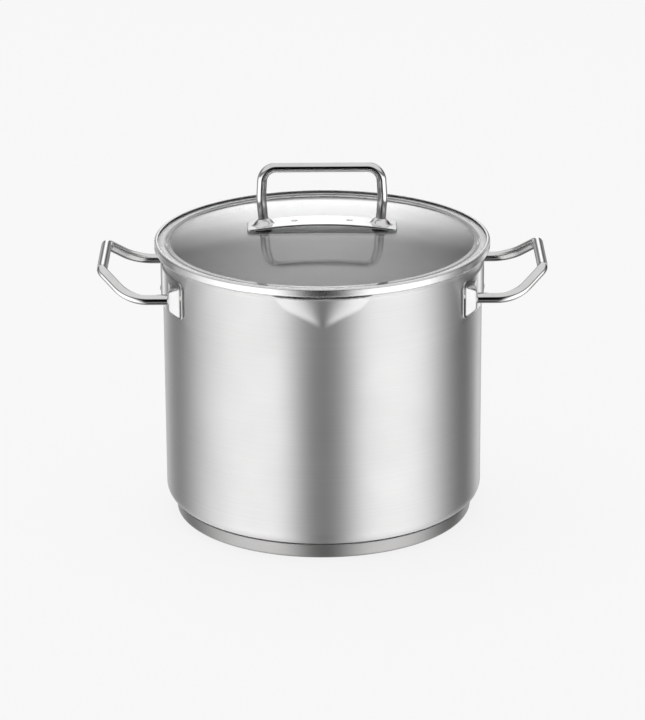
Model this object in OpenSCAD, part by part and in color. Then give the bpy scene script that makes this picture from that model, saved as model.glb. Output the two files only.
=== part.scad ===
/* [Pot] */
// Outer diameter of the straight wall
pot_d = 242; // [220:1:280]
// Height of the rim above the surface the pot stands on
pot_h = 208.8; // [180:0.1:260]
// Thickness of the drawn sheet
wall_t = 0.9; // [0.7:0.1:1.2]
// Outer radius of the turn from wall to floor
corner_r = 11.5; // [9:0.5:14]
// How far the rim flares outward
flare_out = 4; // [3:0.5:4.5]

/* [Base] */
// Height of the sandwich base
base_h = 11.3; // [8:0.1:12]
// Step from the wall in to the top edge of the base
base_inset = 6.5; // [6:0.5:10]
// How much the side of the base draws in towards the floor
base_taper = 1.5; // [0.5:0.5:3]
// Thickness of the steel cap round the core
cap_t = 0.8; // [0.5:0.1:1.2]
// Outer radius of the cap's lower edge
cap_r = 3; // [2:0.5:4]

/* [Pouring spout] */
// Height from the foot of the V to the lip
spout_rise = 23.4; // [20:0.1:28]
// How far the lip stands out from the wall
spout_reach = 5; // [4:0.1:5.4]
// Width of the V where its edges turn up
spout_w = 49; // [44:1:54]
// Rise of the V's edges per unit of width
spout_slope = 0.5; // [0.4:0.05:0.6]
// Drop from the rim to the lip
lip_drop = 1.7; // [1:0.1:3]

/* [Side handles] */
// Diameter of the handle tube
tube_d = 8; // [7:0.5:9]
// Wall thickness of the handle tube
tube_t = 1; // [0.8:0.1:1.5]
// Distance between the centres of the two legs
leg_span = 102; // [96:1:106]
// Distance between the corners at the grip
grip_span = 67; // [60:1:72]
// Distance from the wall to the centre of the grip
handle_reach = 44; // [42:1:50]
// Length of the straight leg outside the wall's widest line
leg_run = 23; // [20:1:24]
// Depth of the legs below the rim
leg_drop = 25.4; // [24.5:0.1:26.5]
// Rise from the legs to the grip
grip_rise = 17.2; // [14:0.1:19]

/* [Handle brackets] */
// Angle that each bracket covers round the pot
bracket_angle = 63; // [62:1:68]
// Height of the bracket
bracket_h = 29; // [28:0.5:31]
// Thickness of the bracket plate
bracket_t = 1.5; // [1.2:0.1:2]
// Depth of the bracket's lower edge below the rim
bracket_drop = 38.7; // [38.2:0.1:39.2]

/* [Lid] */
// Rise of the glass from the rim of the pot to its crown
dome_rise = 16.7; // [16:0.1:18]
// Thickness of the glass
glass_t = 3.2; // [3:0.1:3.3]
// How far the ring reaches past the pot wall
ring_overhang = 5.9; // [5.5:0.1:6.5]
// Height of the ring's channel round the edge of the glass
ring_h = 6.6; // [6.4:0.1:7]
// Width of the lip that holds the glass from above
ring_lip = 2.6; // [2.4:0.1:3.5]
// Thickness of the ring's sheet
ring_t = 0.8; // [0.6:0.1:0.9]
// Depth of the skirt that centres the lid in the pot
skirt_h = 4; // [3:0.5:6]

/* [Lid handle] */
// Length of the strap
strap_w = 113; // [110:1:118]
// Width of the strap
strap_d = 22; // [20:0.5:26]
// Thickness of the strap
strap_t = 1.8; // [1.5:0.1:2]
// Height of the strap above the crown of the glass
strap_rise = 3.8; // [3.6:0.1:4.2]
// Radius of the strap's arch
arch_r = 338; // [330:1:350]
// Diameter of the lid handle's tube
lid_tube_d = 7.5; // [7:0.5:8]
// Distance between the feet of the lid handle
lid_leg_span = 88.6; // [86:0.2:90]
// Height of the top bar's centre above the crown of the glass
lid_handle_h = 45; // [42:0.5:50]

/* [Hidden] */

$fn = 180;
eps = 0.01;
bore_fn = 64;
hull_fn = 32;
far = 400;
tube_sides = 24;
bend_steps = 8;

// Pot
pot_r = pot_d / 2;
floor_z = base_h;
flare_r = flare_out + 1;
flare_z = pot_h - sqrt(pow(flare_r + wall_t, 2) - 1);
cap_top_r = pot_r - base_inset;
cap_foot_r = cap_top_r - base_taper;

// Spout: a shallow cone, its tip just inside the wall under the foot of the V
lip_z = pot_h - lip_drop;
spout_z = lip_z - spout_rise;
tip_in = 0.6;
front_tilt = atan(spout_reach / spout_rise);
tip_y = -(pot_r - tip_in);
tip_z = spout_z - tip_in / tan(front_tilt);
edge_x = spout_w / 2;
edge_run = [edge_x, -sqrt(pot_r * pot_r - edge_x * edge_x) - tip_y, spout_z + spout_slope * edge_x - tip_z];
edge_dir = edge_run / norm(edge_run);
cone_tilt = atan((cos(front_tilt) - edge_dir.z) / (sin(front_tilt) + edge_dir.y));
cone_half = cone_tilt + front_tilt;
cone_len = 60;
// Cheeks: an upright flaring cone that closes the beak at both sides
cheek_y = -(pot_r - 45);
cheek_foot_r = 45.8;
cheek_lip_r = 53;

// Side handles
tube_r = tube_d / 2;
leg_z = pot_h - leg_drop;
grip_x = pot_r + handle_reach;
knee_x = pot_r + leg_run;
knee_r = 30;
grip_r = 7.5;

// Handle brackets
bracket_z = pot_h - bracket_drop;
bracket_corner = 5;
bracket_half = (pot_r + bracket_t) * sin(bracket_angle / 2);
pad_x = pot_r - 6.1;
pad_w = 10;
pad_h = 14.6;
pad_foot_w = 19;
pad_foot_h = 23;
pad_foot_angle = asin(leg_span / 2 / pot_r) - 0.4;
pad_round = 2;
button_r = 3.5;
button_rise = 0.7;
button_z = bracket_z + 6;

// Lid ring and glass
lid_gap = 0.3;
ring_z = pot_h + lid_gap;
ring_r = pot_r + ring_overhang;
ring_edge_r = 1.6;
lip_r = ring_r - ring_lip;
crown_z = pot_h + dome_rise;
glass_r = ring_r - ring_t - 0.5;
glass_gap = 0.54;
margin_r = pot_r - 2;
margin_overlap = 0.5;
margin_rise = 1.2;
margin_z = ring_z + ring_h - ring_t - glass_gap;
dome_sag = crown_z - margin_z + margin_rise;
dome_r = (margin_r * margin_r + dome_sag * dome_sag) / 2 / dome_sag;
dome_z = crown_z - dome_r;
lip_gap = 0.1;
skirt_r = pot_r - wall_t - 1.1;

// Lid handle
strap_z = crown_z + strap_rise;
foot_x = lid_leg_span / 2;
foot_rise = 3.6;
foot_z = strap_z - (arch_r - sqrt(arch_r * arch_r - foot_x * foot_x)) + foot_rise;
foot_w = 15;
foot_d = 16;
foot_top_w = 9;
foot_top_d = 10;
strap_corner = 3;
lid_tube_r = lid_tube_d / 2;
lid_tube_t = 0.8;
bow = 1.4;
bow_z = foot_z + 17;
bow_r = 60;
bar_z = crown_z + lid_handle_h;
bar_bend = 11;
dimple_x = 21;
dimple_r = 6;
dimple_depth = 0.7;

// Lid fasteners
screw_r = 2;
screw_play = 0.15;
glass_hole_r = 3.5;
collar_r = 4.6;
collar_top = foot_z - strap_t - 1.2;
insert_h = 8;
insert_r = (lid_tube_r - lid_tube_t) * cos(180 / tube_sides) - 0.02;
thread_h = 6.5;
sealing_r = 7;
sealing_t = 1.5;
washer_r = 6;
washer_t = 1;
seat_gap = 0.05;
head_r = 4;
head_h = 2.6;
socket_d = 2.5;
socket_h = 1.5;
glass_under_z = dome_z + sqrt(pow(dome_r - glass_t, 2) - foot_x * foot_x);
sealing_z = glass_under_z - sealing_t;
washer_z = sealing_z - washer_t;

// ---------- Shared shapes ----------

function unit(v) = v / norm(v);

// Stations along an arc that rounds the corner at p from direction u to direction v
function arc_stations(p, u, v, bend) =
    let (
        turn = acos(u * v),
        inward = unit(v - u * (u * v)),
        centre = p - u * bend * tan(turn / 2) + inward * bend
    )
    [
        for (i = [0 : bend_steps])
            let (a = turn * i / bend_steps)
            [centre + bend * (u * sin(a) - inward * cos(a)), u * cos(a) + inward * sin(a)]
    ];

// Stations along a route of straight runs with rounded corners: each is a point and a direction
function route_stations(points, bends) =
    let (
        last = len(points) - 1,
        dirs = [for (i = [0 : last - 1]) unit(points[i + 1] - points[i])]
    )
    concat(
        [[points[0], dirs[0]]],
        [for (i = [1 : last - 1]) each arc_stations(points[i], dirs[i - 1], dirs[i], bends[i - 1])],
        [[points[last], dirs[last - 1]]]
    );

// Ring of points square to the direction of a station
function ring_points(station, up, r) =
    let (x = unit(cross(up, station[1])), y = cross(station[1], x))
    [
        for (k = [0 : tube_sides - 1])
            let (a = 360 * k / tube_sides)
            station[0] + r * (x * cos(a) + y * sin(a))
    ];

// Tube with an open bore swept along a route; up is never parallel to the route
module swept_tube(points, bends, up, r, t) {
    stations = route_stations(points, bends);
    n = tube_sides;
    last = len(stations) - 1;
    inner = (last + 1) * n;
    polyhedron(
        points = concat(
            [for (s = stations) each ring_points(s, up, r)],
            [for (s = stations) each ring_points(s, up, r - t)]
        ),
        faces = concat(
            [
                for (i = [0 : last - 1], k = [0 : n - 1])
                    let (a = i * n + k, b = i * n + (k + 1) % n)
                    each [[a, a + n, b + n], [a, b + n, b]]
            ],
            [
                for (i = [0 : last - 1], k = [0 : n - 1])
                    let (a = inner + i * n + k, b = inner + i * n + (k + 1) % n)
                    each [[a, b + n, a + n], [a, b, b + n]]
            ],
            [
                for (k = [0 : n - 1])
                    let (a = k, b = (k + 1) % n)
                    each [[a, b, b + inner], [a, b + inner, a + inner]]
            ],
            [
                for (k = [0 : n - 1])
                    let (a = last * n + k, b = last * n + (k + 1) % n)
                    each [[a, b + inner, b], [a, a + inner, b + inner]]
            ]
        )
    );
}

module rounded_square(w, h, r) {
    square([w, h - 2 * r], center = true);
    square([w - 2 * r, h], center = true);
    for (x = [-1, 1], y = [-1, 1])
        translate([x * (w / 2 - r), y * (h / 2 - r)])
            circle(r = r, $fn = hull_fn);
}

module mirrored_x() {
    children();
    mirror([1, 0, 0])
        children();
}

// ---------- Pot ----------

// Half section of the whole space inside the sheet's outer face, drawn in by t for its inner face
module body_section(t) {
    r = pot_r - t;
    z = floor_z + t;
    turn = corner_r - t;
    translate([0, z])
        square([r - turn, flare_z - z]);
    translate([0, z + turn])
        square([r, flare_z - z - turn]);
    translate([r - turn, z + turn])
        circle(r = turn, $fn = bore_fn);
    translate([0, flare_z])
        difference() {
            square([pot_r + flare_out + t, flare_r + wall_t + 1 + t]);
            translate([pot_r + flare_r, 0])
                circle(r = flare_r + t, $fn = bore_fn);
        }
}

// Space inside the beak's outer face, drawn in by t for its inner face
module beak_form(t) {
    cheek_step = (cheek_lip_r - cheek_foot_r) / spout_rise;
    z0 = tip_z - 2;
    h = pot_h + 3 - z0;
    foot_r = cheek_foot_r - cheek_step * (spout_z - z0);
    intersection() {
        translate([0, tip_y, tip_z])
            rotate([-cone_tilt, 0, 0])
                translate([0, 0, t / sin(cone_half)])
                    cylinder(h = cone_len, r1 = 0, r2 = cone_len * tan(cone_half));
        translate([0, cheek_y, z0])
            cylinder(h = h, r1 = foot_r - t, r2 = foot_r + cheek_step * h - t);
        translate([-pot_r, -2 * pot_r, z0])
            cube([pot_d, pot_r * 1.2, h]);
    }
}

module pot_shell() {
    color("silver")
        difference() {
            union() {
                rotate_extrude()
                    body_section(0);
                beak_form(0);
            }
            rotate_extrude()
                body_section(wall_t);
            beak_form(wall_t);
            translate([0, 0, lip_z])
                intersection() {
                    translate([0, cheek_y, 0])
                        cylinder(h = pot_h, r = cheek_lip_r + 1.5);
                    translate([-pot_r, -2 * pot_r, 0])
                        cube([pot_d, pot_r * 1.2, pot_h]);
                }
        }
}

// ---------- Base ----------

// Half section of the base's outside, drawn in by t to give the core
module base_section(t) {
    turn = cap_r - t;
    translate([0, t])
        square([cap_foot_r - cap_r, base_h - t]);
    translate([cap_foot_r - cap_r, cap_r])
        circle(r = turn, $fn = bore_fn);
    polygon([
        [0, cap_r],
        [cap_foot_r - t, cap_r],
        [cap_top_r - t, base_h],
        [0, base_h]
    ]);
}

module base_core() {
    color("lightgray")
        rotate_extrude()
            base_section(cap_t);
}

module base_cap() {
    color("gray")
        rotate_extrude()
            difference() {
                base_section(0);
                base_section(cap_t);
                translate([0, base_h - eps])
                    square([cap_top_r - cap_t, 1]);
            }
}

// ---------- Side handles ----------

module handle_tube() {
    near = [pot_r * 0.8, 0, leg_z];
    leg = [0, leg_span / 2, 0];
    knee = [knee_x, 0, leg_z];
    corner = [grip_x, 0, leg_z + grip_rise];
    grip = [0, grip_span / 2, 0];
    color("gainsboro")
        difference() {
            swept_tube(
                [near - leg, knee - leg, corner - grip, corner + grip, knee + leg, near + leg],
                [knee_r, grip_r, grip_r, knee_r],
                [1, 0, 1],
                tube_r,
                tube_t
            );
            cylinder(h = pot_h, r = pot_r);
        }
}

// Pressed pad round one leg, drawn in by t to give its hollow
module leg_pad(side, t) {
    hull() {
        translate([pad_x - t, side * leg_span / 2, leg_z])
            rotate([0, -90, 0])
                linear_extrude(1)
                    rounded_square(pad_h - 2 * t, pad_w - 2 * t, pad_round);
        rotate([0, 0, side * pad_foot_angle])
            translate([pot_r, 0, leg_z])
                rotate([0, -90, 0])
                    linear_extrude(1)
                        rounded_square(pad_foot_h - 2 * t, pad_foot_w - 2 * t, pad_round);
    }
}

module bracket() {
    color("silver")
        difference() {
            union() {
                intersection() {
                    cylinder(h = pot_h, r = pot_r + bracket_t);
                    translate([0, 0, bracket_z + bracket_h / 2])
                        rotate([0, 90, 0])
                            linear_extrude(pot_d)
                                rounded_square(bracket_h, 2 * bracket_half, bracket_corner);
                }
                for (side = [-1, 1])
                    leg_pad(side, 0);
                translate([pot_r, 0, button_z])
                    rotate([0, 90, 0])
                        cylinder(h = bracket_t + button_rise, r = button_r, $fn = bore_fn);
            }
            for (side = [-1, 1]) {
                leg_pad(side, bracket_t);
                translate([pot_r / 2, side * leg_span / 2, leg_z])
                    rotate([0, 90, 0])
                        cylinder(h = pot_r, r = tube_r, $fn = bore_fn);
            }
            cylinder(h = pot_h, r = pot_r);
        }
}

// ---------- Lid ----------

// Half section of the glass: a dome with a flat margin for the ring
module glass_section() {
    intersection() {
        translate([0, dome_z])
            difference() {
                circle(r = dome_r, $fn = 720);
                circle(r = dome_r - glass_t, $fn = 720);
            }
        translate([0, margin_z - margin_rise - glass_t - 1])
            square([margin_r, far]);
    }
    translate([margin_r - margin_overlap, margin_z - glass_t])
        square([glass_r - margin_r + margin_overlap, glass_t]);
}

module lid_glass() {
    color("lightcyan", 0.5)
        difference() {
            rotate_extrude()
                glass_section();
            for (x = [-1, 1])
                translate([x * foot_x, 0, pot_h])
                    cylinder(h = 3 * dome_rise, r = glass_hole_r, $fn = bore_fn);
        }
}

// Half section of the space inside the ring's channel, drawn in by t for its hollow
module channel_section(t) {
    x0 = skirt_r - ring_t;
    x1 = ring_r - t;
    z0 = ring_z + t;
    z1 = ring_z + ring_h - t;
    turn = ring_edge_r - t;
    translate([x0, z0])
        square([x1 - turn - x0, z1 - z0]);
    translate([x0, z0 + turn])
        square([x1 - x0, z1 - z0 - 2 * turn]);
    for (z = [z0 + turn, z1 - turn])
        translate([x1 - turn, z])
            circle(r = turn, $fn = bore_fn);
}

module lid_ring() {
    color("silver")
        rotate_extrude() {
            difference() {
                channel_section(0);
                channel_section(ring_t);
                translate([skirt_r - ring_t - 1, ring_z + ring_t])
                    square([lip_r - skirt_r + ring_t + 1, ring_h]);
            }
            translate([skirt_r - ring_t, ring_z - skirt_h])
                square([ring_t, skirt_h + ring_t]);
            translate([lip_r, margin_z + lip_gap])
                square([ring_t, ring_z + ring_h - ring_t / 2 - margin_z - lip_gap]);
        }
}

// Clear silicone gasket that the edge of the glass rests on inside the channel
module lid_seal() {
    low = ring_z + ring_t;
    seal_end = ring_r - ring_edge_r;
    color("lightgray")
        rotate_extrude()
            translate([skirt_r, low])
                square([seal_end - skirt_r, margin_z - glass_t - low]);
}

// ---------- Lid handle ----------

// Flat strap bent to an arch
module strap_form() {
    intersection() {
        translate([0, 0, strap_z - arch_r])
            rotate([90, 0, 0])
                linear_extrude(strap_d, center = true)
                    difference() {
                        circle(r = arch_r, $fn = 720);
                        circle(r = arch_r - strap_t, $fn = 720);
                    }
        translate([0, 0, pot_h])
            linear_extrude(pot_h)
                rounded_square(strap_w, strap_d, strap_corner);
    }
}

// Pressed foot under one leg, drawn in by t to give its hollow
module strap_foot(t) {
    drop = foot_rise + 1;
    hull() {
        translate([foot_x, 0, foot_z - t - eps])
            linear_extrude(eps)
                rounded_square(foot_top_w - 2 * t, foot_top_d - 2 * t, 1);
        translate([foot_x, 0, foot_z - drop])
            linear_extrude(eps)
                rounded_square(foot_w - 2 * t, foot_d - 2 * t, 1);
    }
}

module lid_strap() {
    color("silver")
        difference() {
            union() {
                strap_form();
                mirrored_x()
                    strap_foot(0);
            }
            mirrored_x() {
                strap_foot(strap_t);
                translate([foot_x, 0, pot_h])
                    cylinder(h = pot_h, r = screw_r + screw_play, $fn = bore_fn);
                translate([foot_x, 0, pot_h])
                    cylinder(h = foot_z - foot_rise - 1 + eps - pot_h, r = collar_r, $fn = bore_fn);
                translate([dimple_x, 0, strap_z + dimple_r - dimple_depth - dimple_x * dimple_x / 2 / arch_r])
                    sphere(r = dimple_r, $fn = bore_fn);
            }
        }
}

module lid_handle_tube() {
    below = 1;
    foot = [foot_x - below * bow / (bow_z - foot_z), 0, foot_z - below];
    belly = [foot_x + bow, 0, bow_z];
    corner = [foot_x, 0, bar_z];
    flip = [[-1, 0, 0], [0, 1, 0], [0, 0, 1]];
    color("gainsboro")
        difference() {
            swept_tube(
                [flip * foot, flip * belly, flip * corner, corner, belly, foot],
                [bow_r, bar_bend, bar_bend, bow_r],
                [0, 1, 0],
                lid_tube_r,
                lid_tube_t
            );
            translate([0, 0, foot_z - 2 * below])
                cube([strap_w, strap_d, 4 * below], center = true);
        }
}

// Threaded plug that fills the foot of each leg
module leg_inserts() {
    lean = atan(bow / (bow_z - foot_z));
    color("darkgray")
        mirrored_x()
            difference() {
                intersection() {
                    translate([foot_x, 0, foot_z])
                        rotate([0, lean, 0])
                            translate([0, 0, -1])
                                cylinder(h = insert_h + 2, r = insert_r, $fn = bore_fn);
                    translate([foot_x, 0, foot_z + insert_h / 2])
                        cube([20, 20, insert_h], center = true);
                }
                translate([foot_x, 0, foot_z - 1])
                    cylinder(h = thread_h + 1, r = screw_r, $fn = bore_fn);
            }
}

module lid_screws() {
    color("silver")
        mirrored_x()
            translate([foot_x, 0, washer_z]) {
                difference() {
                    translate([0, 0, -head_h])
                        cylinder(h = head_h, r = head_r, $fn = bore_fn);
                    translate([0, 0, -head_h - 1])
                        cylinder(h = socket_h + 1, d = socket_d, $fn = 6);
                }
                cylinder(h = foot_z + thread_h - 0.5 - washer_z, r = screw_r - screw_play, $fn = bore_fn);
            }
}

module flat_washers(z, h, r) {
    mirrored_x()
        translate([foot_x, 0, z])
            difference() {
                cylinder(h = h, r = r, $fn = bore_fn);
                translate([0, 0, -1])
                    cylinder(h = h + 2, r = screw_r + screw_play, $fn = bore_fn);
            }
}

module screw_washers() {
    color("silver")
        flat_washers(washer_z, washer_t, washer_r);
}

// Half space over a plane that touches the glass above one screw, at the sphere of radius r
module over_glass(r) {
    translate([0, 0, dome_z])
        rotate([0, asin(foot_x / r), 0])
            translate([-far / 4, -far / 4, r])
                cube(far / 2);
}

// Silicone washers with their upper face laid to the underside of the glass
module sealing_washers() {
    color("dimgray")
        difference() {
            flat_washers(sealing_z, sealing_t + 1, sealing_r);
            mirrored_x()
                over_glass(dome_r - glass_t - seat_gap);
        }
}

// Silicone collars that fill the feet of the strap down to the glass
module glass_collars() {
    color("dimgray")
        mirrored_x()
            intersection() {
                translate([foot_x, 0, crown_z - 3])
                    difference() {
                        cylinder(h = collar_top - crown_z + 3, r = collar_r - 0.9, $fn = bore_fn);
                        translate([0, 0, -1])
                            cylinder(h = far, r = screw_r + screw_play, $fn = bore_fn);
                    }
                over_glass(dome_r);
            }
}

pot_shell();
base_core();
base_cap();
mirror([1, 0, 0]) bracket();  // left_bracket
bracket();  // right_bracket
mirror([1, 0, 0]) handle_tube();  // left_handle_tube
handle_tube();  // right_handle_tube
lid_glass();
lid_seal();
lid_ring();
lid_strap();
lid_handle_tube();
leg_inserts();
lid_screws();
screw_washers();
sealing_washers();
glass_collars();
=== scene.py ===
"""Stock pot with a glass lid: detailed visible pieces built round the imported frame."""

import math

import bmesh
import bpy
import numpy as np
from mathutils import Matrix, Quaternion, Vector


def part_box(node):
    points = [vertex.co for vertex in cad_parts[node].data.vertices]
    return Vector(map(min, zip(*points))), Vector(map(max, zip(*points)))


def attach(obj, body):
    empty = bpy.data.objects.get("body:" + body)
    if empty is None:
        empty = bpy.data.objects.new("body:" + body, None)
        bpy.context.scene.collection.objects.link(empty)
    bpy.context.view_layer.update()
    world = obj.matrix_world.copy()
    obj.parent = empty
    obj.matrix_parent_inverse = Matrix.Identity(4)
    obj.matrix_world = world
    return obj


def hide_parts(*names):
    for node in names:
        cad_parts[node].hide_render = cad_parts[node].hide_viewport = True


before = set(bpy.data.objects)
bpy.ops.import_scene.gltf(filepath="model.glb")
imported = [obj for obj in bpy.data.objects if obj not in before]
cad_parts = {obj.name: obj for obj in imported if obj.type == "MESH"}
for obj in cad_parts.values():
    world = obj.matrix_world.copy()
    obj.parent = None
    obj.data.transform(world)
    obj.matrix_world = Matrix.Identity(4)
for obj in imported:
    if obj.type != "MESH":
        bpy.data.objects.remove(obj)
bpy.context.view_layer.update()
scene = bpy.context.scene

# ---------------------------------------------------------------- sizes, in millimetres

MM = 0.001


def corners(node):
    """Lowest and highest corner of a CAD node, in millimetres."""
    low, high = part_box(node)
    return np.array(low) / MM, np.array(high) / MM


shell_low, shell_high = corners("pot_shell")
cap_low, cap_high = corners("base_cap")
bracket_low, bracket_high = corners("right_bracket")
side_tube_low, side_tube_high = corners("right_handle_tube")
glass_low, glass_high = corners("lid_glass")
ring_low, ring_high = corners("lid_ring")
strap_low, strap_high = corners("lid_strap")
lid_tube_low, lid_tube_high = corners("lid_handle_tube")

# Pot body
BASE_INSET = 6.5
POT_R = cap_high[0] + BASE_INSET
POT_H = shell_high[2]
FLOOR_Z = shell_low[2]
WALL_T = 0.9
CORNER_R = 11.5
FLARE_OUT = shell_high[0] - POT_R
FLARE_R = FLARE_OUT + 1
FLARE_Z = POT_H - math.sqrt((FLARE_R + WALL_T) ** 2 - 1)

# Sandwich base
CAP_TAPER = 1.5
CAP_T = 0.8
CAP_EDGE_R = 3.0

# Pouring spout
SPOUT_RISE = 23.4
SPOUT_REACH = 5.0
SPOUT_EDGE_X = 24.5
SPOUT_SLOPE = 0.5
LIP_DROP = 1.7
LIP_Z = POT_H - LIP_DROP
SPOUT_Z = LIP_Z - SPOUT_RISE
TIP_IN = 0.6
CHEEK_Y = -(POT_R - 45)
CHEEK_FOOT_R = 45.8
CHEEK_LIP_R = 53.0

# Side handles
TUBE_R = 4.0
LEG_SPAN = 102.0
GRIP_SPAN = 67.0
LEG_Z = side_tube_low[2] + TUBE_R
GRIP_Z = side_tube_high[2] - TUBE_R
GRIP_X = side_tube_high[0] - TUBE_R
KNEE_X = POT_R + 23
KNEE_R = 30.0
GRIP_R = 7.5

# Brackets
BRACKET_T = 1.5
BRACKET_ANGLE = 63.0
BRACKET_H = bracket_high[2] - bracket_low[2]
BRACKET_MID_Z = (bracket_high[2] + bracket_low[2]) / 2
BRACKET_CORNER = 5.0
PAD_X = POT_R - 6.1
PAD_HALF = (5.0, 7.3)
PAD_FOOT_HALF = (9.5, 11.5)
BUTTON_R = 3.5
BUTTON_RISE = 0.7
BUTTON_Z = bracket_low[2] + 6

# Lid
RING_T = 0.8
RING_R = min(ring_high[0], ring_high[1]) - 0.01
RING_TOP = ring_high[2]
SKIRT_H = 4.0
RING_Z = ring_low[2] + SKIRT_H
RING_EDGE_R = 1.6
RING_LIP = 2.6
LIP_R = RING_R - RING_LIP
SKIRT_R = POT_R - WALL_T - 1.1
MARGIN_R = POT_R - 2
MARGIN_RISE = 1.2
DOME_R = 580.0
GLASS_T = 3.2
CROWN_Z = glass_high[2]
DOME_Z = CROWN_Z - DOME_R
GLASS_R = glass_high[0]
MARGIN_Z = DOME_Z + math.sqrt(DOME_R**2 - MARGIN_R**2) + MARGIN_RISE
GLASS_HOLE_R = 3.5

# Lid handle
STRAP_HALF = (strap_high[0], strap_high[1])
STRAP_T = 1.8
STRAP_CORNER = 3.0
ARCH_R = 338.0
LID_TUBE_R = 3.75
FOOT_X = 44.3
FOOT_Z = lid_tube_low[2]
FOOT_RISE = 3.6
STRAP_Z = FOOT_Z - FOOT_RISE + ARCH_R - math.sqrt(ARCH_R**2 - FOOT_X**2)
BOW = 1.4
BOW_Z = FOOT_Z + 17
BOW_R = 60.0
BAR_Z = lid_tube_high[2] - LID_TUBE_R
BAR_BEND = 11.0
DIMPLE_X = 21.0
DIMPLE_R = 2.9
DIMPLE_DEPTH = 0.75


# ---------------------------------------------------------------- mesh helpers


def smoothstep(low, high, value):
    """Smooth rise from 0 at low to 1 at high."""
    t = np.clip((value - low) / (high - low), 0, 1)
    return t * t * (3 - 2 * t)


def soft_max(a, b, r):
    """Larger of a and b, with the crease between them rounded over a band of r."""
    d = np.clip((a - b) / r, -1, 1)
    return np.where(a - b > r, a, np.where(b - a > r, b, b + r * (d + 1) ** 2 / 4))


def soft_min(a, b, r):
    """Smaller of a and b, rounded in the same way."""
    return -soft_max(-a, -b, r)


def rounded_path(points, radii, steps=10, closed=False):
    """Corner points joined by straight runs, each corner turned into an arc of its radius."""
    points = [np.array(p, float) for p in points]
    count = len(points)
    out = []
    for i, p in enumerate(points):
        r = radii[i]
        if r <= 0 or (not closed and i in (0, count - 1)):
            out.append(p)
            continue
        u = p - points[i - 1]
        v = points[(i + 1) % count] - p
        u = u / np.linalg.norm(u)
        v = v / np.linalg.norm(v)
        turn = math.acos(float(np.clip(u @ v, -1, 1)))
        if turn < 1e-4:
            out.append(p)
            continue
        inward = v - u * (u @ v)
        inward = inward / np.linalg.norm(inward)
        centre = p - u * r * math.tan(turn / 2) + inward * r
        for k in range(steps + 1):
            a = turn * k / steps
            out.append(centre + r * (u * math.sin(a) - inward * math.cos(a)))
    return np.array(out)


def refined(path, longest, closed=False):
    """The same path with every run cut into steps no longer than longest."""
    ends = np.roll(path, -1, 0) if closed else path[1:]
    out = []
    for a, b in zip(path, ends):
        n = max(1, int(math.ceil(np.linalg.norm(b - a) / longest)))
        out.extend(a + (b - a) * k / n for k in range(n))
    if not closed:
        out.append(path[-1])
    return np.array(out)


WELD_GAP = 2e-7
SHARP_ANGLE = 38


def add_object(name, points, faces, material, sharp=SHARP_ANGLE):
    """Object from points in millimetres, welded, with outward normals and smooth shading."""
    mesh = bpy.data.meshes.new(name)
    mesh.from_pydata((np.asarray(points) * MM).tolist(), [], faces)
    bm = bmesh.new()
    bm.from_mesh(mesh)
    bmesh.ops.remove_doubles(bm, verts=bm.verts, dist=WELD_GAP)
    bmesh.ops.recalc_face_normals(bm, faces=bm.faces)
    bm.to_mesh(mesh)
    bm.free()
    mesh.polygons.foreach_set("use_smooth", [True] * len(mesh.polygons))
    mesh.set_sharp_from_angle(angle=math.radians(sharp))
    mesh.materials.append(material)
    obj = bpy.data.objects.new(name, mesh)
    scene.collection.objects.link(obj)
    return obj


def grid_faces(rows, cols, wrap_rows):
    """Four-sided faces over a grid whose columns run all the way round."""
    index = np.arange(rows * cols).reshape(rows, cols)
    down = np.roll(index, -1, 0)
    right = np.roll(index, -1, 1)
    both = np.roll(down, -1, 1)
    quads = np.stack([index, right, both, down], -1)
    if not wrap_rows:
        quads = quads[:-1]
    return quads.reshape(-1, 4).tolist()


def add_grid(name, points, material, wrap_rows=False, sharp=SHARP_ANGLE):
    """Object from a grid of points, one closed loop to a row."""
    rows, cols = points.shape[:2]
    faces = grid_faces(rows, cols, wrap_rows)
    return add_object(name, points.reshape(-1, 3), faces, material, sharp)


def spun(path, angles):
    """Grid of a profile of (radius, height) turned about the vertical axis."""
    r = path[:, 0][:, None]
    z = np.repeat(path[:, 1][:, None], len(angles), 1)
    return np.stack([r * np.sin(angles), -r * np.cos(angles), z], -1)


def full_turn(count):
    """Evenly spaced angles round a whole turn."""
    return np.linspace(0, 2 * math.pi, count, endpoint=False)


def swept(path, r, sides):
    """Grid of a round tube along a path, closed at both ends."""
    path = np.asarray(path, float)
    tangents = np.gradient(path, axis=0)
    tangents /= np.linalg.norm(tangents, axis=1)[:, None]
    side = np.cross(tangents[0], [0.3, 1.0, 0.2])
    rings = []
    turns = full_turn(sides)
    for p, t in zip(path, tangents):
        side = side - t * (side @ t)
        side /= np.linalg.norm(side)
        other = np.cross(t, side)
        rings.append(p + r * (np.outer(np.cos(turns), side) + np.outer(np.sin(turns), other)))
    start = np.repeat(path[0][None, :], sides, 0)
    end = np.repeat(path[-1][None, :], sides, 0)
    return np.array([start, *rings, end])


def outline(half, corner, count):
    """Points round a rectangle with rounded corners, evenly spaced."""
    a, b = half
    path = rounded_path([(a, -b), (a, b), (-a, b), (-a, -b)], [corner] * 4, 12, closed=True)
    lengths = np.linalg.norm(np.roll(path, -1, 0) - path, axis=1)
    at = np.concatenate([[0], np.cumsum(lengths)])
    loop = np.vstack([path, path[:1]])
    want = np.linspace(0, at[-1], count, endpoint=False)
    return np.stack([np.interp(want, at, loop[:, k]) for k in range(2)], -1)


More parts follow.
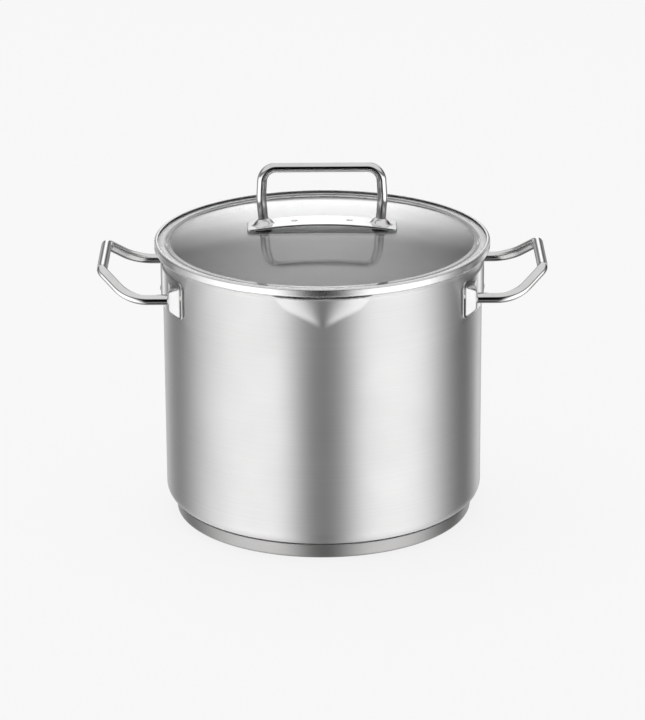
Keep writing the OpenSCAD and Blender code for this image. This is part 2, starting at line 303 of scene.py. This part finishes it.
def add_plate(name, half, corner, thick, edge, place, material, count=420, rings=56):
    """Sheet with rounded edges; place turns (along, across, lift) arrays into points."""
    layers = []
    inner = outline((half[0] - edge, half[1] - edge), corner - edge, count)
    for s in np.linspace(0, 1, rings):
        layers.append((inner * s, thick))
    turns = np.linspace(0, math.pi / 2, 7)[1:]
    rounds = []
    for a in turns:
        inset = edge * (1 - math.sin(a))
        ring = outline((half[0] - inset, half[1] - inset), corner - inset, count)
        rounds.append((ring, edge * (1 - math.cos(a))))
    layers.extend((ring, thick - lift) for ring, lift in rounds)
    layers.extend(rounds[::-1])
    for s in np.linspace(1, 0, rings):
        layers.append((inner * s, 0.0))
    grid = [place(ring[:, 0], ring[:, 1], np.full(count, lift)) for ring, lift in layers]
    return add_grid(name, np.array(grid), material, sharp=50)


# ---------------------------------------------------------------- materials


# Range that holds nearly all of a noise texture's values
NOISE_RANGE = (0.3, 0.7)


class Nodes:
    """Short ways to add and join shader nodes."""

    def __init__(self, tree):
        self.tree = tree

    def add(self, kind, **settings):
        node = self.tree.nodes.new(kind)
        for key, value in settings.items():
            setattr(node, key, value)
        return node

    def feed(self, socket, value):
        if isinstance(value, bpy.types.NodeSocket):
            self.tree.links.new(value, socket)
        else:
            socket.default_value = value

    def math(self, operation, *values):
        node = self.add("ShaderNodeMath", operation=operation)
        for socket, value in zip(node.inputs, values):
            self.feed(socket, value)
        return node.outputs[0]

    def vector(self, x, y, z):
        node = self.add("ShaderNodeCombineXYZ")
        for socket, value in zip(node.inputs, (x, y, z)):
            self.feed(socket, value)
        return node.outputs[0]

    def noise(self, vector, scale, detail=3.0, roughness=0.55):
        node = self.add("ShaderNodeTexNoise")
        self.feed(node.inputs["Vector"], vector)
        node.inputs["Scale"].default_value = scale
        node.inputs["Detail"].default_value = detail
        node.inputs["Roughness"].default_value = roughness
        return node.outputs[0]

    def spread(self, value, low, high):
        """Turns the middle range of a noise into the range from low to high."""
        node = self.add("ShaderNodeMapRange")
        for socket, number in zip(node.inputs, (value, *NOISE_RANGE, low, high)):
            self.feed(socket, number)
        return node.outputs[0]

    def ramp(self, value, stops):
        """Grey level that changes in straight steps between (position, level) stops."""
        node = self.add("ShaderNodeValToRGB")
        elements = node.color_ramp.elements
        while len(elements) < len(stops):
            elements.new(0.5)
        for element, (at, level) in zip(elements, stops):
            element.position = at
            element.color = (level, level, level, 1)
        self.feed(node.inputs[0], value)
        return node.outputs[0]

    def tint(self, value, dark, light):
        """Colour between dark and light, by a noise."""
        node = self.add("ShaderNodeValToRGB")
        low, high = node.color_ramp.elements
        low.position, high.position = NOISE_RANGE
        low.color, high.color = (*dark, 1), (*light, 1)
        self.feed(node.inputs[0], value)
        return node.outputs[0]


def new_material(name):
    """Material with its node helper and its main shader."""
    material = bpy.data.materials.new(name)
    material.use_nodes = True
    nodes = Nodes(material.node_tree)
    shader = material.node_tree.nodes["Principled BSDF"]
    return material, nodes, shader


def object_axes(nodes):
    """The object's own coordinates, whole and as x, y and z."""
    coords = nodes.add("ShaderNodeTexCoord").outputs["Object"]
    split = nodes.add("ShaderNodeSeparateXYZ")
    nodes.feed(split.inputs[0], coords)
    return coords, *split.outputs


def bumped(nodes, shader, height, strength, distance):
    """Fine relief, distance in metres."""
    bump = nodes.add("ShaderNodeBump")
    bump.inputs["Strength"].default_value = strength
    bump.inputs["Distance"].default_value = distance
    nodes.feed(bump.inputs["Height"], height)
    nodes.feed(shader.inputs["Normal"], bump.outputs[0])


def turned_grain(nodes, fine, along):
    """Noise drawn out into fine lines that run round the vertical axis."""
    _, x, y, z = object_axes(nodes)
    x_squared = nodes.math("MULTIPLY", x, x)
    y_squared = nodes.math("MULTIPLY", y, y)
    radius = nodes.math("SQRT", nodes.math("ADD", x_squared, y_squared))
    across = nodes.math("MULTIPLY", nodes.math("ADD", radius, z), fine)
    spot = nodes.vector(nodes.math("MULTIPLY", x, along), nodes.math("MULTIPLY", y, along), across)
    return nodes.noise(spot, 1.0, 4.0, 0.65)


# Change of roughness where hands and cloths have been
WEAR = 0.02


def brushed_steel(name, dark, light, rough_low, rough_high, anisotropy, fine, along, relief):
    """Steel ground round the vertical axis: the highlight spreads across the grinding lines."""
    material, nodes, shader = new_material(name)
    coords = object_axes(nodes)[0]
    grain = turned_grain(nodes, fine, along)
    smudge = nodes.noise(coords, 22.0, 4.0, 0.6)
    shader.inputs["Metallic"].default_value = 1.0
    shader.inputs["Anisotropic"].default_value = anisotropy
    shader.inputs["Anisotropic Rotation"].default_value = 0.25
    nodes.feed(shader.inputs["Base Color"], nodes.tint(grain, dark, light))
    worn = nodes.spread(smudge, -WEAR, WEAR)
    ground = nodes.spread(grain, rough_low, rough_high)
    nodes.feed(shader.inputs["Roughness"], nodes.math("ADD", ground, worn))
    tangent = nodes.add("ShaderNodeTangent", direction_type="RADIAL", axis="Z")
    nodes.feed(shader.inputs["Tangent"], tangent.outputs[0])
    bumped(nodes, shader, grain, relief, 0.00002)
    return material


# Hairlines to a metre, along and across their run
HAIRLINE_ALONG = 300.0
HAIRLINE_ACROSS = 3500.0


def polished_steel(name, base, rough_low, rough_high, relief):
    """Buffed steel: near mirror, with faint wiping marks and hairline scratches."""
    material, nodes, shader = new_material(name)
    coords, x, y, z = object_axes(nodes)
    smudge = nodes.noise(coords, 60.0, 5.0, 0.6)
    stretched = nodes.vector(
        nodes.math("MULTIPLY", x, HAIRLINE_ALONG),
        nodes.math("MULTIPLY", y, HAIRLINE_ALONG),
        nodes.math("MULTIPLY", z, HAIRLINE_ACROSS),
    )
    hairline = nodes.noise(stretched, 1.0, 2.0, 0.5)
    shader.inputs["Metallic"].default_value = 1.0
    bright = tuple(min(1.0, c * 1.05) for c in base)
    dull = tuple(c * 0.93 for c in base)
    nodes.feed(shader.inputs["Base Color"], nodes.tint(smudge, dull, bright))
    marks = nodes.spread(hairline, 0.0, 0.03)
    buffed = nodes.spread(smudge, rough_low, rough_high)
    nodes.feed(shader.inputs["Roughness"], nodes.math("ADD", buffed, marks))
    bumped(nodes, shader, hairline, relief, 0.00001)
    return material


def soft_plastic(name, dark, light, roughness):
    """Rubber or silicone with a fine matt grain."""
    material, nodes, shader = new_material(name)
    coords = object_axes(nodes)[0]
    grain = nodes.noise(coords, 2500.0, 3.0, 0.6)
    cloud = nodes.noise(coords, 120.0, 3.0, 0.5)
    nodes.feed(shader.inputs["Base Color"], nodes.tint(cloud, dark, light))
    nodes.feed(shader.inputs["Roughness"], nodes.spread(grain, roughness - 0.08, roughness + 0.08))
    bumped(nodes, shader, grain, 0.15, 0.00005)
    return material


def lid_glass_material():
    """Clear toughened glass, slightly grey, with faint wiping marks."""
    material, nodes, shader = new_material("toughened_glass")
    coords = object_axes(nodes)[0]
    cloud = nodes.noise(coords, 45.0, 4.0, 0.6)
    shader.inputs["Transmission Weight"].default_value = 1.0
    shader.inputs["IOR"].default_value = 1.52
    nodes.feed(shader.inputs["Base Color"], nodes.tint(cloud, (0.93, 0.94, 0.94), (0.95, 0.96, 0.96)))
    nodes.feed(shader.inputs["Roughness"], nodes.spread(cloud, 0.0, 0.015))
    bumped(nodes, shader, cloud, 0.02, 0.00002)
    return material


wall_steel = brushed_steel(
    "brushed_wall",
    dark=(0.82, 0.82, 0.815),
    light=(0.90, 0.90, 0.895),
    rough_low=0.46,
    rough_high=0.52,
    anisotropy=0.9,
    fine=5200.0,
    along=6.0,
    relief=0.10,
)
base_steel = brushed_steel(
    "ground_base",
    dark=(0.42, 0.417, 0.413),
    light=(0.52, 0.517, 0.512),
    rough_low=0.40,
    rough_high=0.52,
    anisotropy=0.75,
    fine=3000.0,
    along=10.0,
    relief=0.25,
)
mirror_steel = polished_steel("mirror_steel", (0.74, 0.74, 0.735), 0.05, 0.10, 0.04)
rim_steel = polished_steel("rim_steel", (0.76, 0.76, 0.755), 0.24, 0.30, 0.06)
bracket_steel = polished_steel("bracket_steel", (0.57, 0.57, 0.565), 0.09, 0.17, 0.08)
screw_steel = polished_steel("screw_steel", (0.62, 0.62, 0.61), 0.2, 0.3, 0.12)
core_metal = brushed_steel(
    "core_aluminium",
    dark=(0.70, 0.70, 0.70),
    light=(0.80, 0.80, 0.80),
    rough_low=0.4,
    rough_high=0.5,
    anisotropy=0.3,
    fine=2500.0,
    along=12.0,
    relief=0.2,
)
seal_rubber = soft_plastic("seal_silicone", (0.40, 0.40, 0.40), (0.46, 0.46, 0.455), 0.45)
washer_rubber = soft_plastic("washer_silicone", (0.10, 0.10, 0.10), (0.14, 0.14, 0.14), 0.5)
clear_glass = lid_glass_material()


# ---------------------------------------------------------------- pot shell


# Widths over which the spout's creases are rounded, and the width kept clear beside its cheeks
CREASE_R = 2.6
SPOUT_EDGE_R = 0.8
CHEEK_CLEAR = 5.0
# Part of the front that has fine columns, in degrees either side
FINE_HALF_ANGLE = 24
# Half widths between which the rim changes from the lip's height to its own
LIP_HALF = (29, 37)
SPOUT_MARGIN = 12
RIM_EDGE = 0.25


def spout_tilts():
    """Lean of the spout's cone, half its angle and the height of its tip."""
    front = math.atan(SPOUT_REACH / SPOUT_RISE)
    tip_y = -(POT_R - TIP_IN)
    tip_z = SPOUT_Z - TIP_IN / math.tan(front)
    edge = np.array(
        [
            SPOUT_EDGE_X,
            -math.sqrt(POT_R**2 - SPOUT_EDGE_X**2) - tip_y,
            SPOUT_Z + SPOUT_SLOPE * SPOUT_EDGE_X - tip_z,
        ]
    )
    edge /= np.linalg.norm(edge)
    tilt = math.atan((math.cos(front) - edge[2]) / (math.sin(front) + edge[1]))
    return tilt, tilt + front, tip_z


CONE_TILT, CONE_HALF, TIP_Z = spout_tilts()


def spout_push(x, z):
    """How far the beak stands out in front of the round wall."""
    s = math.sin(CONE_TILT)
    c2 = math.cos(CONE_HALF) ** 2
    h = z - TIP_Z
    k = math.cos(CONE_TILT) * h
    a = s * s - c2
    b = s * k
    c = k * k - c2 * (x * x + h * h)
    cone_y = (-b + np.sqrt(np.maximum(b * b - a * c, 0))) / a
    wall_y = np.sqrt(np.maximum(POT_R**2 - x * x, 0))
    cone = POT_R - TIP_IN - cone_y - wall_y
    cheek_r = CHEEK_FOOT_R + (CHEEK_LIP_R - CHEEK_FOOT_R) * (z - SPOUT_Z) / SPOUT_RISE
    cheek = -CHEEK_Y + np.sqrt(np.maximum(cheek_r**2 - x * x, 0)) - wall_y
    cheek = np.where(np.abs(x) < cheek_r - CHEEK_CLEAR, cheek, -CHEEK_CLEAR)
    return soft_max(soft_min(cone, cheek, CREASE_R), 0.0, SPOUT_EDGE_R)


def shell_profile():
    """Outer line from the centre of the floor to the rim and the inner line back.

    Each point is its radius, its height and the radius of the straight wall on its side.
    """
    fine_from = SPOUT_Z - 10
    low_wall = np.linspace(FLOOR_Z + CORNER_R, fine_from, 24)
    high_wall = np.linspace(fine_from, FLARE_Z, 56)[1:]
    wall_z = np.concatenate([low_wall, high_wall])
    turn = np.linspace(0, math.pi / 2, 20)
    floor_r = np.array([0, 40, 80, POT_R - CORNER_R - 6])

    def side(t):
        r = POT_R - t
        corner = CORNER_R - t
        bend = FLARE_R + t
        flat = [(f, FLOOR_Z + t, f) for f in floor_r]
        under_r = r - corner
        under_z = FLOOR_Z + t + corner
        round_under = [(under_r + corner * math.sin(a), under_z - corner * math.cos(a), r) for a in turn]
        wall = [(r, z, r) for z in wall_z[1:]]
        bends = np.linspace(0, math.acos(1 / bend), 14)[1:]
        flare = [(r + bend - bend * math.cos(a), FLARE_Z + bend * math.sin(a), r) for a in bends]
        return flat + round_under + wall + flare

    outer = side(0.0)
    inner = side(WALL_T)
    edge = RIM_EDGE
    outer_end, inner_end = outer[-1], inner[-1]
    rim = [
        (outer_end[0] - 0.02, outer_end[1], POT_R),
        (outer_end[0], outer_end[1] + edge, POT_R - edge),
        (inner_end[0], inner_end[1] - edge, POT_R - WALL_T + edge),
        (inner_end[0] - edge, inner_end[1], POT_R - WALL_T),
    ]
    return np.array(outer[:-1] + rim + inner[:-1][::-1])


def add_shell():
    """Wall, floor and flared rim in one sheet, with the spout pushed out of the front."""
    fine = math.radians(FINE_HALF_ANGLE)
    front = np.linspace(-fine, fine, 190)
    rest = np.linspace(fine, 2 * math.pi - fine, 180)[1:-1]
    angles = np.concatenate([front, rest])
    profile = shell_profile()
    r = profile[:, 0][:, None]
    z = np.repeat(profile[:, 1][:, None], len(angles), 1)
    wall = profile[:, 2][:, None]
    near = np.cos(angles) > 0
    x = r * np.sin(angles)
    straight = np.where(near, 1 - smoothstep(*LIP_HALF, np.abs(x)), 0)
    above = np.where(z > FLARE_Z, 1.0, 0.0)
    r = r + (wall - r) * straight * above
    z = z - LIP_DROP * straight * np.clip((z - FLARE_Z) / (POT_H - FLARE_Z), 0, 1)
    x = r * np.sin(angles)
    by_spout = near & (z > SPOUT_Z - SPOUT_MARGIN) & (r > POT_R / 2)
    push = np.where(by_spout, spout_push(x, z), 0)
    points = np.stack([x, -r * np.cos(angles) - push, z], -1)
    shell = add_grid("pot_body", points, wall_steel, sharp=50)
    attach(shell, "pot")
    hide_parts("pot_shell")


add_shell()

# ---------------------------------------------------------------- base


def add_base():
    """Steel cap round the core, drawn in towards the floor."""
    foot_r = cap_high[0] - CAP_TAPER
    path = rounded_path(
        [
            (0, 0),
            (foot_r, 0),
            (cap_high[0], cap_high[2]),
            (cap_high[0] - CAP_T, cap_high[2]),
            (foot_r - CAP_T, CAP_T),
            (0, CAP_T),
        ],
        [0, CAP_EDGE_R, 0.35, 0.25, CAP_EDGE_R - CAP_T, 0],
        12,
    )
    cap = add_grid("base_cap_shell", spun(refined(path, 6.0), full_turn(360)), base_steel)
    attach(cap, "pot")
    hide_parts("base_cap")


add_base()

# ---------------------------------------------------------------- side handles


# Bead of weld round the foot of each tube
WELD_RISE = 0.7
WELD_W = 1.3


def bracket_place(side):
    """Bends the bracket's sheet round the pot and presses out its pads and weld button."""

    def place(along, across, lift):
        turn = along / POT_R
        z = BRACKET_MID_Z + across
        button = np.sqrt(along**2 + (z - BUTTON_Z) ** 2) / BUTTON_R
        dome = BUTTON_RISE * smoothstep(0, 0.7, 1 - button)
        r = POT_R + lift + dome
        x = r * np.cos(turn)
        y = r * np.sin(turn)
        dy = np.abs(np.abs(y) - LEG_SPAN / 2)
        dz = np.abs(z - LEG_Z)
        slope_y = (PAD_FOOT_HALF[0] - dy) / (PAD_FOOT_HALF[0] - PAD_HALF[0])
        slope_z = (PAD_FOOT_HALF[1] - dz) / (PAD_FOOT_HALF[1] - PAD_HALF[1])
        rise = soft_min(soft_min(slope_y, slope_z, 0.35), 1.0, 0.2)
        rise = np.clip(soft_max(rise, 0.0, 0.15), 0, 1)
        pad = np.maximum(PAD_X - BRACKET_T + lift - x, 0)
        collar = np.sqrt((np.abs(y) - LEG_SPAN / 2) ** 2 + dz**2)
        weld = WELD_RISE * (1 - smoothstep(TUBE_R + 0.1, TUBE_R + WELD_W, collar))
        x = x + rise * (pad + weld)
        return np.stack([side * x, y, z], -1)

    return place


def add_side_handle(side, word):
    """Bracket and bent tube on one side of the pot."""
    half = (math.radians(BRACKET_ANGLE / 2) * POT_R, BRACKET_H / 2)
    bracket = add_plate(
        word + "_bracket_plate",
        half,
        BRACKET_CORNER,
        BRACKET_T,
        0.6,
        bracket_place(side),
        bracket_steel,
        count=520,
        rings=110,
    )
    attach(bracket, "pot")
    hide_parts(word + "_bracket")

    leg_y = LEG_SPAN / 2
    grip_y = GRIP_SPAN / 2
    start_x = math.sqrt(POT_R**2 - leg_y**2) + 0.6
    corners_3d = [
        (start_x, -leg_y, LEG_Z),
        (KNEE_X, -leg_y, LEG_Z),
        (GRIP_X, -grip_y, GRIP_Z),
        (GRIP_X, grip_y, GRIP_Z),
        (KNEE_X, leg_y, LEG_Z),
        (start_x, leg_y, LEG_Z),
    ]
    path = rounded_path(corners_3d, [0, KNEE_R, GRIP_R, GRIP_R, KNEE_R, 0], 22)
    path = refined(path, 3.0)
    path[:, 0] *= side
    tube = add_grid(word + "_handle_bar", swept(path, TUBE_R, 56), mirror_steel)
    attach(tube, "pot")
    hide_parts(word + "_handle_tube")


add_side_handle(1, "right")
add_side_handle(-1, "left")

# ---------------------------------------------------------------- lid


def add_ring():
    """Channel round the edge of the glass, with a turned-down lip above and the centring skirt below."""
    t = RING_T
    corner = RING_EDGE_R
    hollow = RING_EDGE_R - t
    path = rounded_path(
        [
            (LIP_R, RING_TOP - t),
            (LIP_R, RING_TOP),
            (RING_R, RING_TOP),
            (RING_R, RING_Z),
            (SKIRT_R, RING_Z),
            (SKIRT_R, RING_Z - SKIRT_H),
            (SKIRT_R - t, RING_Z - SKIRT_H),
            (SKIRT_R - t, RING_Z + t),
            (RING_R - t, RING_Z + t),
            (RING_R - t, RING_TOP - t),
        ],
        [0.35, 0.38, corner, 1.2, 0.5, 0.35, 0.35, 1.1, hollow, hollow],
        10,
        closed=True,
    )
    path = refined(path, 1.5, closed=True)
    ring = add_grid("lid_rim", spun(path, full_turn(420)), rim_steel, wrap_rows=True, sharp=50)
    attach(ring, "lid")
    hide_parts("lid_ring")


def add_glass():
    """Dome of glass with a raised flat margin and a hole under each foot of the handle."""

    def dome(radius, to_r, count):
        turns = np.linspace(0, math.asin(to_r / radius), count)
        return [(radius * math.sin(a), DOME_Z + radius * math.cos(a)) for a in turns]

    top = dome(DOME_R, MARGIN_R - 4, 60)
    under = dome(DOME_R - GLASS_T, MARGIN_R - 2, 60)
    low = MARGIN_Z - GLASS_T
    edge = rounded_path(
        [
            top[-4],
            top[-1],
            (MARGIN_R - 0.5, MARGIN_Z),
            (GLASS_R, MARGIN_Z),
            (GLASS_R, low),
            (MARGIN_R + 0.5, low),
            under[-1],
            under[-4],
        ],
        [0, 1.5, 1.5, 1.0, 1.0, 0.8, 0.8, 0],
        8,
    )
    path = np.array(top[:-4] + edge.tolist() + under[:-4][::-1])
    glass = add_grid("lid_pane", spun(path, full_turn(360)), clear_glass)
    for x in (-FOOT_X, FOOT_X):
        hole = refined(np.array([(x, 0, CROWN_Z - 25), (x, 0, CROWN_Z + 5)]), 10.0)
        cutter = add_grid("cutter", swept(hole, GLASS_HOLE_R, 48), clear_glass)
        cut = glass.modifiers.new("hole", "BOOLEAN")
        cut.operation = "DIFFERENCE"
        cut.solver = "EXACT"
        cut.object = cutter
        depsgraph = bpy.context.evaluated_depsgraph_get()
        holed = bpy.data.meshes.new_from_object(glass.evaluated_get(depsgraph))
        glass.modifiers.clear()
        glass.data = holed
        bpy.data.objects.remove(cutter)
    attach(glass, "lid")
    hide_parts("lid_glass")


# Pressed feet: half widths, squareness, the share of the half width that slopes, and the bead of weld
FOOT_HALF = (8.3, 8.6)
FOOT_POWER = 1.5
FOOT_SLOPE = 0.38
FOOT_WELD_RISE = 0.6


def strap_place(along, across, lift):
    """Bends the strap to its arch, raises the feet and presses in the dimples."""
    z = STRAP_Z - STRAP_T - ARCH_R + np.sqrt(ARCH_R**2 - along**2) + lift
    da = np.abs(np.abs(along) - FOOT_X)
    power = FOOT_POWER
    reach = ((da / FOOT_HALF[0]) ** power + (np.abs(across) / FOOT_HALF[1]) ** power) ** (1 / power)
    foot = soft_min((1 - reach) / FOOT_SLOPE, 1.0, 0.25)
    z = z + FOOT_RISE * np.clip(soft_max(foot, 0.0, 0.15), 0, 1)
    weld = 1 - smoothstep(LID_TUBE_R, LID_TUBE_R + 1.0, np.sqrt(da**2 + across**2))
    z = z + FOOT_WELD_RISE * weld * (lift / STRAP_T)
    spot = np.sqrt((np.abs(along) - DIMPLE_X) ** 2 + across**2) / DIMPLE_R
    z = z - DIMPLE_DEPTH * (1 - smoothstep(0.1, 1.0, spot))
    return np.stack([along, across, z], -1)


def add_lid_handle():
    """Strap on the glass and the bent tube that stands on its feet."""
    strap = add_plate(
        "lid_strap_plate",
        STRAP_HALF,
        STRAP_CORNER,
        STRAP_T,
        0.45,
        strap_place,
        mirror_steel,
        count=480,
        rings=100,
    )
    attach(strap, "lid")
    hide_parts("lid_strap")

    feet = [(FOOT_X, 0, FOOT_Z), (FOOT_X + BOW, 0, BOW_Z), (FOOT_X, 0, BAR_Z)]
    other = [(-x, y, z) for x, y, z in feet]
    path = rounded_path(other + feet[::-1], [0, BOW_R, BAR_BEND, BAR_BEND, BOW_R, 0], 22)
    tube = add_grid("lid_handle_bar", swept(refined(path, 3.0), LID_TUBE_R, 56), mirror_steel)
    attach(tube, "lid")
    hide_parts("lid_handle_tube")


add_ring()
add_glass()
add_lid_handle()

# ---------------------------------------------------------------- CAD nodes that keep their shape

KEPT_NODES = {
    "base_core": (core_metal, "core_aluminium"),
    "lid_seal": (seal_rubber, "silicone"),
    "leg_inserts": (screw_steel, "screw_steel"),
    "lid_screws": (screw_steel, "screw_steel"),
    "screw_washers": (screw_steel, "screw_steel"),
    "sealing_washers": (washer_rubber, "silicone"),
    "glass_collars": (washer_rubber, "silicone"),
}
for node, (material, slot) in KEPT_NODES.items():
    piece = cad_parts[node]
    piece.data.materials.clear()
    piece.data.materials.append(material)

# ---------------------------------------------------------------- floor

FLOOR_HALF = 30.0
PALE = 0.922
FLOOR_GLOW = 0.945
FLOOR_GLOW_SHARE = 0.88
FLOOR_DROP = 0.0002


def floor_material():
    """Pale matt floor that mostly keeps one level, so that only a faint contact shadow shows."""
    material, nodes, shader = new_material("studio_floor")
    shader.inputs["Base Color"].default_value = (0.9, 0.9, 0.9, 1)
    shader.inputs["Roughness"].default_value = 0.9
    shader.inputs["Specular IOR Level"].default_value = 0.0
    glow = nodes.add("ShaderNodeEmission")
    glow.inputs["Color"].default_value = (FLOOR_GLOW, FLOOR_GLOW, FLOOR_GLOW, 1)
    mix = nodes.add("ShaderNodeMixShader")
    mix.inputs[0].default_value = FLOOR_GLOW_SHARE
    nodes.feed(mix.inputs[1], shader.outputs[0])
    nodes.feed(mix.inputs[2], glow.outputs[0])
    output = material.node_tree.nodes["Material Output"]
    nodes.feed(output.inputs["Surface"], mix.outputs[0])
    return material


floor_mesh = bpy.data.meshes.new("floor")
s = FLOOR_HALF
floor_mesh.from_pydata([(-s, -s, 0), (s, -s, 0), (s, s, 0), (-s, s, 0)], [], [(0, 1, 2, 3)])
floor = bpy.data.objects.new("floor", floor_mesh)
floor.location.z = -FLOOR_DROP
floor.visible_glossy = False
floor_mesh.materials.append(floor_material())
scene.collection.objects.link(floor)

# ---------------------------------------------------------------- studio

# Level of the studio's walls by direction, in degrees from the camera's side
WALLS = [
    (-180, 0.4),
    (-164, 0.28),
    (-157, 1.2),
    (-147, 0.4),
    (-124, 0.14),
    (-108, 0.5),
    (-90, 1.05),
    (-70, 1.42),
    (-30, 1.45),
    (-20, 0.62),
    (-11, 0.03),
    (0, 0.0),
    (11, 0.03),
    (20, 0.62),
    (31, 1.45),
    (68, 1.5),
    (82, 1.2),
    (96, 0.5),
    (112, 0.1),
    (134, 0.08),
    (142, 0.6),
    (150, 1.3),
    (158, 0.5),
    (166, 0.16),
    (180, 0.4),
]
# Level by height, from straight down to straight up
HEIGHTS = [
    (-1.0, 0.35),
    (-0.85, 0.7),
    (-0.6, 1.25),
    (-0.35, 1.15),
    (-0.12, 1.1),
    (0.0, 0.9),
    (0.15, 0.65),
    (1.0, 0.65),
]
# Even light from above, by height
OVERHEAD = [(0.38, 0.0), (0.6, 1.0)]
OVERHEAD_LEVEL = 0.85
# Glow from the near floor, by height
NEAR_FLOOR = [(-0.88, 0.0), (-0.78, 1.0), (-0.64, 1.0), (-0.5, 0.0)]
NEAR_FLOOR_LEVEL = 0.25
# Dark band behind the camera, by height
DARK_BAND = [(0.0, 0.0), (0.08, 1.0), (0.30, 1.0), (0.42, 0.0)]
DARK_BAND_SIDES = [(0.45, 1.0), (0.6, 0.0)]
DARK_BAND_DEPTH = 0.75
# Bright panel at the back, by height, and by direction as a share of a half turn
BACK_PANEL = [
    (-0.04, 0.0),
    (0.0, 0.8),
    (0.2, 1.0),
    (0.33, 0.72),
    (0.4, 0.36),
    (0.52, 0.18),
    (0.85, 0.0),
]
BACK_PANEL_LEVEL = 1.55
BACK_PANEL_SIDES = [(0.93, 0.0), (0.985, 1.0)]
# Colour ramps hold levels up to 1, so brighter ones are stored divided by this
LEVEL_SCALE = 2.0


def by_height(stops):
    """Ramp stops from levels by height, where -1 is straight down and 1 straight up."""
    return [(height / 2 + 0.5, level) for height, level in stops]


def build_world():
    """Soft studio seen only in reflections; the camera itself sees one pale level."""
    world = bpy.data.worlds.new("studio")
    scene.world = world
    world.use_nodes = True
    nodes = Nodes(world.node_tree)
    shader = world.node_tree.nodes["Background"]
    split = nodes.add("ShaderNodeSeparateXYZ")
    nodes.feed(split.inputs[0], nodes.add("ShaderNodeTexCoord").outputs["Generated"])
    x, y, z = split.outputs
    around = nodes.math("ARCTAN2", x, nodes.math("MULTIPLY", y, -1.0))
    turn = nodes.math("ADD", nodes.math("DIVIDE", around, 2 * math.pi), 0.5)
    walls = nodes.ramp(turn, [(a / 360 + 0.5, v / LEVEL_SCALE) for a, v in WALLS])
    height = nodes.math("MULTIPLY_ADD", z, 0.5, 0.5)
    heights = nodes.ramp(height, by_height([(h, v / LEVEL_SCALE) for h, v in HEIGHTS]))
    band = nodes.ramp(height, by_height(DARK_BAND))
    away = nodes.math("ABSOLUTE", nodes.math("DIVIDE", around, math.pi))
    front = nodes.ramp(away, DARK_BAND_SIDES)
    dark = nodes.math("MULTIPLY_ADD", nodes.math("MULTIPLY", band, front), -DARK_BAND_DEPTH, 1.0)
    level = nodes.math("MULTIPLY", nodes.math("MULTIPLY", walls, heights), LEVEL_SCALE**2)
    level = nodes.math("MULTIPLY", level, dark)
    overhead = nodes.ramp(height, by_height(OVERHEAD))
    gap = nodes.math("SUBTRACT", OVERHEAD_LEVEL, level)
    level = nodes.math("MULTIPLY_ADD", gap, overhead, level)
    near_floor = nodes.ramp(height, by_height(NEAR_FLOOR))
    level = nodes.math("MULTIPLY_ADD", near_floor, NEAR_FLOOR_LEVEL, level)
    panel_height = nodes.ramp(height, by_height(BACK_PANEL))
    panel = nodes.math("MULTIPLY", panel_height, nodes.ramp(away, BACK_PANEL_SIDES))
    level = nodes.math("MULTIPLY_ADD", panel, BACK_PANEL_LEVEL, level)
    camera_ray = nodes.add("ShaderNodeLightPath").outputs["Is Camera Ray"]
    mix = nodes.add("ShaderNodeMix", data_type="FLOAT")
    nodes.feed(mix.inputs[0], camera_ray)
    nodes.feed(mix.inputs[2], level)
    mix.inputs[3].default_value = PALE
    nodes.feed(shader.inputs["Color"], mix.outputs[0])
    shader.inputs["Strength"].default_value = 1.0


build_world()

TOP_LIGHT_SIZE = 2.2
TOP_LIGHT_WATTS = 22.0
TOP_LIGHT_PLACE = (-0.3, 0.4, 2.8)

top_light = bpy.data.lights.new("top_light", "AREA")
top_light.shape = "DISK"
top_light.size = TOP_LIGHT_SIZE
top_light.energy = TOP_LIGHT_WATTS
top_object = bpy.data.objects.new("top_light", top_light)
top_object.location = TOP_LIGHT_PLACE
aim = Vector((0, 0, 0.1)) - top_object.location
top_object.rotation_euler = aim.to_track_quat("-Z", "Y").to_euler()
top_object.visible_glossy = False
scene.collection.objects.link(top_object)

# ---------------------------------------------------------------- camera

CAMERA_LENS = 170.9
CAMERA_ELEVATION = 19.35
CAMERA_DISTANCE = 2.616
CAMERA_ROLL = -0.35
AIM_Z = 0.1171
AIM_X = -0.0003

camera_data = bpy.data.cameras.new("camera")
camera_data.sensor_width = 36.0
camera_data.lens = CAMERA_LENS
camera = bpy.data.objects.new("camera", camera_data)
elevation = math.radians(CAMERA_ELEVATION)
away = Vector((0, -math.cos(elevation), math.sin(elevation)))
camera.location = Vector((AIM_X, 0, AIM_Z)) + away * CAMERA_DISTANCE
facing = (-away).to_track_quat("-Z", "Y").to_matrix()
camera.rotation_mode = "QUATERNION"
turned = facing.to_quaternion()
turned.rotate(Quaternion(away, math.radians(CAMERA_ROLL)))
camera.rotation_quaternion = turned
scene.collection.objects.link(camera)
scene.camera = camera
scene.view_settings.view_transform = "Standard"
